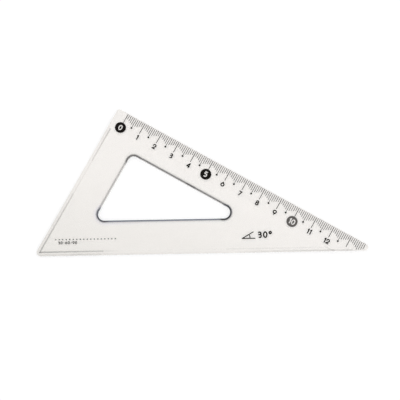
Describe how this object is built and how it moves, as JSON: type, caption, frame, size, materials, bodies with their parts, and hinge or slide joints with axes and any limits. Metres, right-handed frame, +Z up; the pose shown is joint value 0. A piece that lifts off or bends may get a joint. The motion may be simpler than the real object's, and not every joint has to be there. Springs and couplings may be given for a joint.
{
  "type": "set square",
  "caption": "Clear 30/60 degree drawing set square with a triangular cut-out, a bevelled long leg with a centimetre scale, and stepped inking ledges on the other two edges.",
  "frame": {"origin": "on the underside, in the middle of the outline's box", "axes": "+X along the hypotenuse towards the sharp 30 degree corner, +Y from the hypotenuse towards the right angle, +Z up out of the printed, bevelled face"},
  "size_m": [0.168, 0.075, 0.0021],
  "materials": {
    "clear_plastic": "clear, polished, slightly warm",
    "print_black": "black printing ink",
    "print_grey": "the same ink, laid thinner, dark grey"
  },
  "bodies": {
    "root": {"plate": "clear_plastic", "ticks_millimetre": "print_black", "ticks_half_centimetre": "print_black", "dots_half_centimetre": "print_black", "ticks_centimetre": "print_black", "number_disc_0": "print_black", "number_disc_5": "print_black", "number_disc_10": "print_grey", "name_line_dots": "print_black"}
  },
  "joints": []
}
